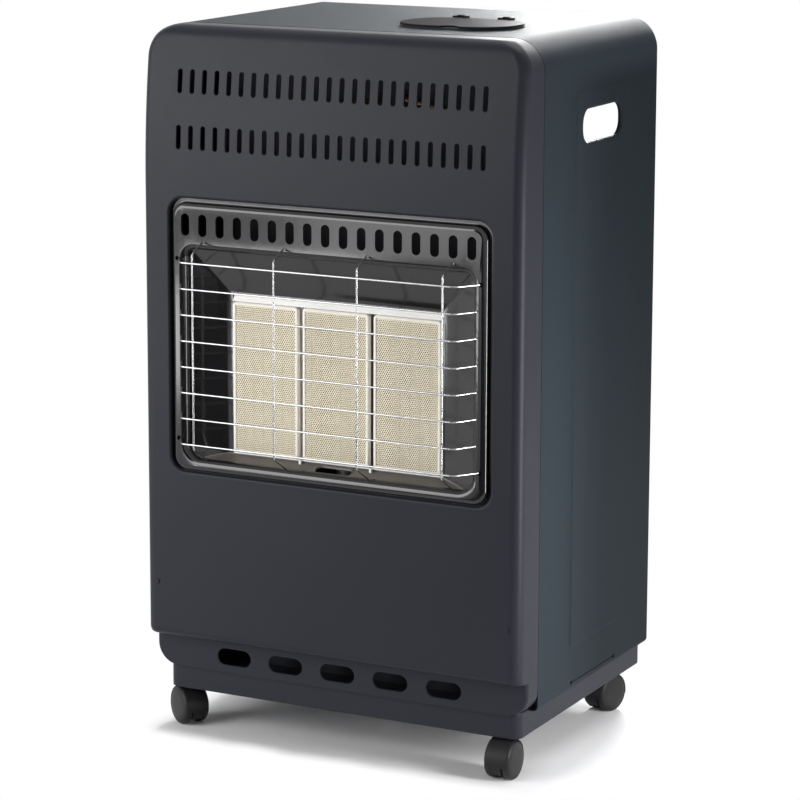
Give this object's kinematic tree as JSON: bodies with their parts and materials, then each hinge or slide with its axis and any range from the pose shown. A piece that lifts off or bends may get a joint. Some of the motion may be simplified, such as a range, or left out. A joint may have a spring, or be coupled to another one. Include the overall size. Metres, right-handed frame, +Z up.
{
  "type": "portable gas cabinet heater",
  "caption": "Steel cabinet on castors with a ceramic radiant burner behind a wire guard, top controls under a lid, and a rear bay for a gas cylinder.",
  "frame": {"origin": "centre of the bounding box in plan, on the floor that the castors stand on", "axes": "+Z up, the burner faces -Y, +X to the right as seen from the front"},
  "size_m": [0.42, 0.3584, 0.7332],
  "materials": {
    "charcoal_paint": "fine satin powder coat",
    "black_enamel": "glossy vitreous enamel",
    "reflector_steel": "semi-bright rolled",
    "cream_ceramic": "unglazed, finely perforated",
    "burner_steel": "pale aluminised",
    "galvanised_steel": "galvanised",
    "chrome_wire": "bright plated",
    "brass": "machined",
    "copper": "drawn tube",
    "black_plastic": "fine moulded grain",
    "castor_tread": "smooth satin",
    "zinc_steel": "zinc plated",
    "white_ceramic": "glazed insulator",
    "lead_sleeve": "silicone sleeve"
  },
  "bodies": {
    "cabinet": {"front_cover": "charcoal_paint", "cabinet_wrap": "charcoal_paint", "base_tray": "charcoal_paint", "heat_shield": "charcoal_paint", "cover_screw_left": "zinc_steel", "cover_screw_right": "zinc_steel", "burner_surround": "black_enamel", "reflector_box": "reflector_steel", "burner_frame": "burner_steel", "plaque_left": "cream_ceramic", "plaque_centre": "cream_ceramic", "plaque_right": "cream_ceramic", "burner_plenum_left": "galvanised_steel", "burner_plenum_centre": "galvanised_steel", "burner_plenum_right": "galvanised_steel", "injector_left": "brass", "injector_centre": "brass", "injector_right": "brass", "gas_rail": "zinc_steel", "guard_grille": "chrome_wire", "pilot_bracket": "zinc_steel", "pilot_burner": "brass", "spark_electrode": "white_ceramic", "thermocouple": "copper", "control_bezel": "black_plastic", "lid_pin_left": "zinc_steel", "lid_pin_right": "zinc_steel", "valve_bracket": "zinc_steel", "gas_valve": "brass", "piezo_igniter": "black_plastic", "inlet_nozzle": "brass", "gas_pipe": "copper", "pilot_pipe": "copper", "spark_lead": "lead_sleeve"},
    "rear_cover": {"rear_cover": "charcoal_paint"},
    "lid": {"control_lid": "black_plastic"},
    "knob_push": {"push_collar": "zinc_steel"},
    "knob": {"control_knob": "black_plastic", "valve_spindle": "brass"},
    "igniter_button": {"piezo_button": "castor_tread"},
    "castor_front_left": {"castor_hood_front_left": "black_plastic", "castor_axle_front_left": "zinc_steel"},
    "castor_front_right": {"castor_hood_front_right": "black_plastic", "castor_axle_front_right": "zinc_steel"},
    "castor_rear_left": {"castor_hood_rear_left": "black_plastic", "castor_axle_rear_left": "zinc_steel"},
    "castor_rear_right": {"castor_hood_rear_right": "black_plastic", "castor_axle_rear_right": "zinc_steel"},
    "wheel_front_left_left": {"wheel_front_left_left": "castor_tread"},
    "wheel_front_left_right": {"wheel_front_left_right": "castor_tread"},
    "wheel_front_right_left": {"wheel_front_right_left": "castor_tread"},
    "wheel_front_right_right": {"wheel_front_right_right": "castor_tread"},
    "wheel_rear_left_left": {"wheel_rear_left_left": "castor_tread"},
    "wheel_rear_left_right": {"wheel_rear_left_right": "castor_tread"},
    "wheel_rear_right_left": {"wheel_rear_right_left": "castor_tread"},
    "wheel_rear_right_right": {"wheel_rear_right_right": "castor_tread"}
  },
  "joints": [
    {"name": "lid_hinge", "type": "hinge", "parent": "cabinet", "child": "lid", "pos_m": [0.078, 0.03559, 0.7306], "axis": [-1, 0, 0], "range_deg": [0, 100]},
    {"name": "knob_push_in", "type": "slide", "parent": "cabinet", "child": "knob_push", "axis": [0, 0, -1], "range_m": [0, 0.004], "stiffness_N_per_m": 600, "springref_m": -0.004},
    {"name": "knob_turn", "type": "hinge", "parent": "knob_push", "child": "knob", "pos_m": [0.052, -0.01581, 0.7], "axis": [0, 0, 1], "range_deg": [0, 210]},
    {"name": "igniter_press", "type": "slide", "parent": "cabinet", "child": "igniter_button", "axis": [0, 0, -1], "range_m": [0, 0.006], "stiffness_N_per_m": 500, "springref_m": -0.003},
    {"name": "rear_cover_lift_off", "type": "slide", "parent": "cabinet", "child": "rear_cover", "axis": [0, 1, 0], "range_m": [0, 0.15]},
    {"name": "swivel_front_left", "type": "hinge", "parent": "cabinet", "child": "castor_front_left", "pos_m": [-0.18, -0.11281, 0.055], "axis": [0, 0, 1], "continuous": true},
    {"name": "swivel_front_right", "type": "hinge", "parent": "cabinet", "child": "castor_front_right", "pos_m": [0.18, -0.11281, 0.055], "axis": [0, 0, 1], "continuous": true},
    {"name": "swivel_rear_left", "type": "hinge", "parent": "cabinet", "child": "castor_rear_left", "pos_m": [-0.18, 0.13919, 0.055], "axis": [0, 0, 1], "continuous": true},
    {"name": "swivel_rear_right", "type": "hinge", "parent": "cabinet", "child": "castor_rear_right", "pos_m": [0.18, 0.13919, 0.055], "axis": [0, 0, 1], "continuous": true},
    {"name": "roll_front_left_left", "type": "hinge", "parent": "castor_front_left", "child": "wheel_front_left_left", "pos_m": [-0.18587, -0.109, 0.0195], "axis": [-0.5446, -0.8387, 0], "continuous": true},
    {"name": "roll_front_left_right", "type": "hinge", "parent": "castor_front_left", "child": "wheel_front_left_right", "pos_m": [-0.18587, -0.109, 0.0195], "axis": [-0.5446, -0.8387, 0], "continuous": true},
    {"name": "roll_front_right_left", "type": "hinge", "parent": "castor_front_right", "child": "wheel_front_right_left", "pos_m": [0.18, -0.11981, 0.0195], "axis": [1, 0, 0], "continuous": true},
    {"name": "roll_front_right_right", "type": "hinge", "parent": "castor_front_right", "child": "wheel_front_right_right", "pos_m": [0.18, -0.11981, 0.0195], "axis": [1, 0, 0], "continuous": true},
    {"name": "roll_rear_left_left", "type": "hinge", "parent": "castor_rear_left", "child": "wheel_rear_left_left", "pos_m": [-0.17599, 0.13345, 0.0195], "axis": [0.8192, 0.5736, 0], "continuous": true},
    {"name": "roll_rear_left_right", "type": "hinge", "parent": "castor_rear_left", "child": "wheel_rear_left_right", "pos_m": [-0.17599, 0.13345, 0.0195], "axis": [0.8192, 0.5736, 0], "continuous": true},
    {"name": "roll_rear_right_left", "type": "hinge", "parent": "castor_rear_right", "child": "wheel_rear_right_left", "pos_m": [0.17795, 0.13249, 0.0195], "axis": [0.9563, -0.2924, 0], "continuous": true},
    {"name": "roll_rear_right_right", "type": "hinge", "parent": "castor_rear_right", "child": "wheel_rear_right_right", "pos_m": [0.17795, 0.13249, 0.0195], "axis": [0.9563, -0.2924, 0], "continuous": true}
  ]
}
